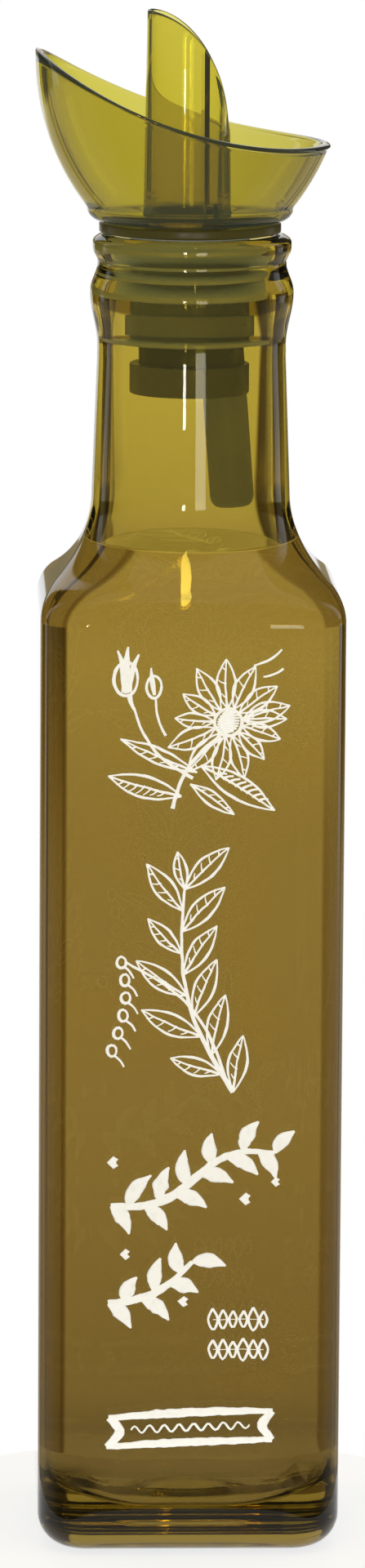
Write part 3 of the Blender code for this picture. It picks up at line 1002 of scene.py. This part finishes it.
def leaf_lines(base, tip, half_width, line=0.42, hatches=5, fill=0.0):
    """An outlined leaf: two sides, a middle rib, and short hatches on one half."""
    lines = [
        (bowed(base, tip, half_width), [0.6 * line, line, 0.6 * line]),
        (bowed(base, tip, -half_width * 0.85), [0.6 * line, 1.15 * line, 0.5 * line]),
        (bowed(base, tip, half_width * 0.12), [line, 0.6 * line]),
    ]
    run = (tip[0] - base[0], tip[1] - base[1])
    span = hypot(*run)
    for number in range(hatches):
        share = 0.22 + 0.56 * number / max(hatches - 1, 1)
        aside = half_width * sin(pi * share) * 0.82
        start = (base[0] + run[0] * share, base[1] + run[1] * share)
        end = (start[0] + 0.09 * run[0] - run[1] / span * aside,
               start[1] + 0.09 * run[1] + run[0] / span * aside)
        lines.append((bowed(start, end, 0.012 * span, 3), [0.7 * line + fill, 0.35 * line + fill]))
    return lines


def printed(name, lines, stems, leaf, **values):
    """One piece of the print, with its helper curves removed again."""
    parts = {"lines": (lines, MM), "stems": (stems, MM), "leaf": (leaf, 1.0)}
    helpers = {label: curves(name + "_" + label, *part) for label, part in parts.items()}
    empty = bpy.data.meshes.new(name + "_host")
    piece = grow(name, ink_tree, empty, finish=ink_finish, **helpers, **values)
    for helper in helpers.values():
        bpy.data.objects.remove(helper)
    return piece


print("a leaf takes", len(leaf_lines((0.0, 0.0), (0.0, 1.0), 0.2)), "lines")

# %% The blossom drawing
petal = leaf_lines((0.0, 0.0), (0.05, 1.0), 0.21, 0.40, 3)
heart_lines = []
for number in range(9):
    level = 135.9 + 0.42 * number
    half = sqrt(max(2.0 ** 2 - (level - 137.6) ** 2, 0.0)) * 0.9
    places = bowed((5.4 - half, level - 0.35), (5.4 + half, level + 0.35), 0.15, 3)
    heart_lines.append((places, [0.30, 0.55, 0.30]))
blossom_lines = heart_lines + [
    (bowed((4.2, 135.3), (-3.4, 123.6), -1.6, 8), [0.9, 0.55, 0.7]),
    (bowed((-0.2, 128.6), (-9.6, 139.6), 1.8, 7), [0.6, 0.4]),
    (bowed((-4.6, 135.4), (-6.2, 141.6), 0.5, 5), [0.45, 0.35]),
    (bowed((-9.6, 139.6), (-10.4, 142.0), 0.2, 4), [0.5, 0.9]),
    (ring((-11.0, 144.6), 1.9, 2.7), [0.45, 0.6, 0.4]),
    (bowed((-11.4, 142.4), (-12.3, 149.2), -0.5, 5), [0.7, 1.3, 0.3]),
    (bowed((-10.9, 142.3), (-10.6, 149.8), 0.3, 5), [0.8, 1.5, 0.3]),
    (bowed((-10.3, 142.5), (-8.9, 148.6), 0.5, 5), [0.6, 1.1, 0.3]),
    (ring((-6.5, 143.3), 1.2, 1.8), [0.4, 0.5]),
    (bowed((-6.4, 142.0), (-6.9, 146.4), 0.2, 4), [0.5, 0.9, 0.25]),
    (bowed((9.4, 146.8), (13.9, 149.4), -0.5, 5), [0.3, 0.45, 0.3]),
    (bowed((11.0, 145.0), (14.1, 146.3), -0.3, 4), [0.3, 0.4]),
]
blossom_lines += leaf_lines((-2.0, 125.6), (-13.8, 128.9), 1.9, 0.45, 7)
blossom_lines += leaf_lines((0.4, 129.5), (-11.8, 134.9), 1.3, 0.42, 5)
blossom_lines += leaf_lines((1.0, 130.6), (12.9, 123.3), 2.0, 0.45, 8, 0.15)
blossom_lines += leaf_lines((-0.6, 127.6), (6.4, 122.6), 1.1, 0.40, 4)
blossom = printed(
    "blossom_print", blossom_lines, [(ring((5.4, 137.6), 2.2, 2.2, 0.2), [0.5, 0.6])], petal,
    leaf_length=7.2 * MM, spacing=2 * pi * 2.2 * MM / 13.01, spread=pi / 2, alternate=0.0, seed=3)

# %% The herb drawing
herb_leaf = leaf_lines((0.0, 0.0), (0.0, 1.0), 0.17, 0.42, 4)
herb_stem = bowed((6.6, 77.2), (-1.4, 110.4), 3.6, 12)
herb_lines = leaf_lines((-1.4, 110.4), (-2.6, 116.6), 1.1, 0.42, 3)
for number in range(6):
    share = number / 5
    centre = (-13.0 + 2.2 * sin(2.4 * share), 84.0 + 14.5 * share)
    herb_lines.append((ring(centre, 0.75, 0.95, share), [0.35, 0.55, 0.35]))
    places = bowed((centre[0] + 0.5, centre[1] - 0.8), (centre[0] + 2.0, centre[1] - 2.6), 0.2, 3)
    herb_lines.append((places, [0.4, 0.3]))
herb_lines.append((bowed((5.6, 78.6), (-11.0, 98.6), -3.4, 9), [0.55, 0.4]))
herb = printed(
    "herb_print", herb_lines, [(herb_stem, [0.85, 0.6, 0.4])], herb_leaf,
    leaf_length=9.4 * MM, spacing=3.5 * MM, spread=0.72, alternate=1.0, seed=11)

# %% The brushed garlands
brush_leaf = [(bowed((0.0, 0.0), (0.0, 1.0), 0.10, 7), [0.5, 1.9, 2.6, 2.3, 1.3, 0.3])]
long_stem = bowed((-13.0, 58.4), (1.0, 63.4), -2.0, 7) + bowed((1.0, 63.4), (13.4, 67.2), 1.8, 7)[1:]
garland_stems = [
    (long_stem, [1.1, 1.5, 1.2, 0.7]),
    (bowed((-13.4, 42.2), (0.2, 49.2), -1.8, 9), [1.2, 1.4, 0.7]),
]
dots = [((-12.6, 65.6), 1.5), ((-5.4, 56.2), 1.3), ((8.8, 59.6), 1.6), ((13.6, 62.4), 1.1),
        ((-10.6, 50.4), 1.2), ((-1.2, 42.6), 1.3)]
garland_lines = [(ring(centre, 0.3, 0.3, steps=6), [wide, wide]) for centre, wide in dots]
garlands = printed(
    "garland_print", garland_lines, garland_stems, brush_leaf,
    leaf_length=5.6 * MM, spacing=2.6 * MM, spread=0.95, alternate=1.0, seed=5)

# %% The small ornaments and the ribbon
lozenge = [([(0.0, -0.5), (0.22, 0.0), (0.0, 0.5), (-0.22, 0.0), (0.0, -0.5)], [0.40, 0.40])]
row_stems = [(bowed((3.6, level), (11.8, level), 0.0, 4), [0.12, 0.12]) for level in (39.6, 34.6)]
ribbon_lines = [
    (bowed((-13.2, 23.2), (13.4, 24.3), 0.35, 8), [0.9, 1.5, 1.4, 0.9]),
    (bowed((-13.6, 18.4), (13.3, 19.5), 0.2, 8), [0.9, 1.4, 1.3, 0.9]),
    ([(-13.2, 23.2), (-11.4, 20.9), (-13.6, 18.4)], [1.0, 1.7, 1.0]),
    ([(13.4, 24.3), (11.7, 21.9), (13.3, 19.5)], [1.0, 1.6, 1.0]),
]
wave = [(-9.6 + 19.2 * step / 48, 21.2 + 0.8 * step / 48 + 0.62 * sin(2 * pi * step / 6))
        for step in range(49)]
ribbon_lines.append((wave, [0.28, 0.42, 0.30]))
ribbon = printed(
    "ribbon_print", ribbon_lines, row_stems, lozenge,
    leaf_length=3.3 * MM, spacing=1.62 * MM, spread=pi / 2, alternate=0.0, seed=7)

# %% [markdown]
# ## Studio
#
# Clear things show mostly what is around them. The camera sees white, but the glass sees a room that is
# bright behind it and darker at the sides, above and in front. Bearings run from straight ahead. Low
# down, a bright screen of some 14 degrees each way fills the body, and thin dark bars draw the lines at
# its edges. Higher up the screen is wide, and two broad dark bars draw the bands of the neck. A darker
# strip at eye level keeps the sides of the shoulder from turning into white mirrors. Dark places are
# warm, so that edges turn brown and not grey. The floor is a small pale disc for the foot to stand on.

# %% The room
back_level = 1.08
front_level = 0.35
low_side_level = 0.62
high_side_level = 0.45
ceiling_level = 0.35
low_bars = [(15.0, 16.0, 2.0, 0.45), (28.0, 30.2, 1.0, 0.85),
            (-38.5, -35.5, 1.2, 0.85), (-45.0, -43.4, 0.8, 0.7)]
high_bars = [(16, 50, 3, 0.92), (-50, -25, 3, 0.92)]
scene = bpy.context.scene
scene.view_settings.view_transform = "Standard"
room = bpy.data.worlds.new("white_room")
room.use_nodes = True
background = room.node_tree.nodes["Background"]
towards = Wire(room.node_tree).node("ShaderNodeTexCoord", out="Generated")
right_of_room, ahead_in_room, above = towards.parts()
bearing = right_of_room.maths("ARCTAN2", ahead_in_room)
aside = (bearing - radians(2)).maths("ABSOLUTE")


def smooth(value, start, end):
    """A smooth step from 0 at the start to 1 at the end."""
    return value.scaled(start, end, interpolation_type="SMOOTHSTEP")


def screen(half_angle, soft, side_level):
    """Walls with a bright screen straight ahead; all in degrees."""
    beyond = smooth(aside, radians(half_angle), radians(half_angle + soft))
    return side_level + (back_level - side_level) * (1 - beyond)


def with_bars(walls, bars):
    """Walls with dark bars, each from a start to an end, with a soft edge and a depth."""
    for start, end, soft, depth in bars:
        grown = smooth(bearing, radians(start - soft), radians(start))
        bar = grown * (1 - smooth(bearing, radians(end), radians(end + soft)))
        walls = walls * (1 - depth * bar)
    return walls


low_walls = with_bars(screen(12, 3, low_side_level), low_bars)
high_walls = with_bars(screen(60, 4, high_side_level), high_bars)
eye_level = smooth(above, -0.075, -0.055) * (1 - smooth(above, 0.09, 0.12))
horizon = eye_level * smooth(aside, radians(1.5), radians(3.5))
high_walls = high_walls * (1 - 0.65 * horizon)
high = smooth(above, -0.188, -0.155)
walls = low_walls + (high_walls - low_walls) * high
front = smooth(bearing.maths("ABSOLUTE"), radians(85), radians(110))
walls = walls + (front_level - walls) * front
ceiling = smooth(above, 0.55, 0.85)
lit_room = walls + (ceiling_level - walls) * ceiling
seen_directly = towards.node("ShaderNodeLightPath", out="Is Camera Ray")
glow = lit_room + (1.0 - lit_room) * seen_directly
room.node_tree.links.new(glow.socket, background.inputs["Strength"])
warmth = smooth(glow, 0.3, 0.95).mix((1.0, 0.80, 0.42), white)
room.node_tree.links.new(warmth.socket, background.inputs["Color"])
scene.world = room
print("room has", len(room.node_tree.nodes), "nodes")

# %% The floor
here, shader, floor_finish = new_finish("pale_floor", {
    "Roughness": 0.9,
    "Specular IOR Level": 0.1,
    "Emission Color": (0.96, 0.98, 1.0, 1.0),
    "Emission Strength": 0.77,
})
feed(shader, "Base Color", here.noise(60.0, 3.0).mix((0.50, 0.50, 0.50), (0.54, 0.54, 0.54)))
floor_radius = 0.05
turns = [2 * pi * step / 96 for step in range(96)]
floor_edge = [(floor_radius * cos(turn), floor_radius * sin(turn), -0.1 * MM) for turn in turns]
floor_mesh = bpy.data.meshes.new("floor")
floor_mesh.from_pydata(floor_edge, [], [tuple(range(96))])
floor_mesh.materials.append(floor_finish)
floor = place("floor", floor_mesh)
print("floor of", 2 * floor_radius, "m across")

# %% [markdown]
# ## Lamps
#
# Each mark of light on the glass is the picture of one lamp. A slim lamp to the left of the camera draws
# the white streak on the neck, a wider one to the right draws the pale band beside it, and a very slim
# yellow one close to the shoulder draws the drop of light under the neck. A lamp is placed by the
# direction in which the glass mirrors it, and its picture ends where the lamp ends.

# %% The lamps
lamp_distance = 0.9


def soft_box(name, place_at, aim_at, width, tall, brightness, colour=(1.0, 1.0, 1.0)):
    """A rectangular lamp, aimed at a point, given by its brightness and not by its power."""
    lamp = bpy.data.lights.new(name, "AREA")
    lamp.shape = "RECTANGLE"
    lamp.size = width
    lamp.size_y = tall
    lamp.energy = brightness * pi * width * tall
    lamp.color = colour
    holder = bpy.data.objects.new(name, lamp)
    scene.collection.objects.link(holder)
    aim = Vector(aim_at) - Vector(place_at)
    turned_to_aim = aim.to_track_quat("-Z", "Y").to_matrix().to_4x4()
    holder.matrix_world = Matrix.Translation(place_at) @ turned_to_aim
    holder.visible_camera = False
    return holder


def round_about(degrees_right, level):
    """A place at arm's length, at an angle to the right of the camera's direction."""
    direction = radians(-92.0 + degrees_right)
    return (lamp_distance * cos(direction), lamp_distance * sin(direction), level)


streak_height = 156.5 * MM
band_height = 120 * MM
soft_box("overhead", (0.3, -0.3, 2.4), (0.0, 0.0, 0.0), 2.2, 2.2, 0.4)
soft_box("streak", round_about(-7.8, streak_height), (0.0, 0.0, streak_height), 0.05, 0.088, 42.0)
soft_box("band", round_about(11.3, band_height), (0.0, 0.0, band_height), 0.19, 0.12, 8.0)
drop_x = 3.8 * MM
golden = (1.0, 0.78, 0.12)
drop = soft_box("drop", (drop_x, -0.0713, 0.301), (drop_x, -0.020, 0.160), 0.0019, 0.15, 17.0, golden)
drop.data.shape = "ELLIPSE"
print("lamps:", len(bpy.data.lights))

# %% [markdown]
# ## The camera
#
# The photograph was taken from a little above and a little to the left, from about five bottle heights
# away. The shift only centres the bottle as the photograph does.

# %% Camera
camera_distance = 1.26
pitch = radians(9.8)
swing = radians(-2.0)
roll = radians(0.36)
aim_height = 123.35 * MM
picture_height = 1920.0
focal_in_pixels = 9450.0
picture_middle = 223.5
bottle_middle = 231.2
sensor = 36.0
camera_data = bpy.data.cameras.new("camera")
camera_data.sensor_width = sensor
camera_data.lens = sensor * focal_in_pixels / picture_height
camera_data.shift_x = -(bottle_middle - picture_middle) / picture_height
camera_data.clip_start = 0.05
camera = bpy.data.objects.new("camera", camera_data)
scene.collection.objects.link(camera)
ahead = Vector((-sin(swing) * cos(pitch), cos(swing) * cos(pitch), -sin(pitch)))
level_right = Vector((cos(swing), sin(swing), 0.0))
level_up = level_right.cross(ahead)
right = level_right * cos(roll) + level_up * sin(roll)
up = level_up * cos(roll) - level_right * sin(roll)
turn_matrix = Matrix((right, up, -ahead)).transposed().to_4x4()
camera_place = Vector((0.0, 0.0, aim_height)) - ahead * camera_distance
camera.matrix_world = Matrix.Translation(camera_place) @ turn_matrix
scene.camera = camera
print("camera", camera_distance, "m away, lens", round(camera_data.lens, 1), "mm")

# %% [markdown]
# ## Riding on one body
#
# Every piece rides on the one body. Four stand for the solids, and the print is added to them.

# %% Bodies and solids
solids = [
    (bottle, "bottle_glass", "olive_glass"),
    (oil, "oil", "oil"),
    (stopper, "stopper", "stopper_plastic"),
    (pourer, "pourer", "cup_plastic"),
]
prints = [blossom, herb, garlands, ribbon]
for piece, node, slot in solids:
    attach(piece, "root")
    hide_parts(node)
for piece in prints:
    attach(piece, "root")
print("pieces riding:", len(solids) + len(prints))
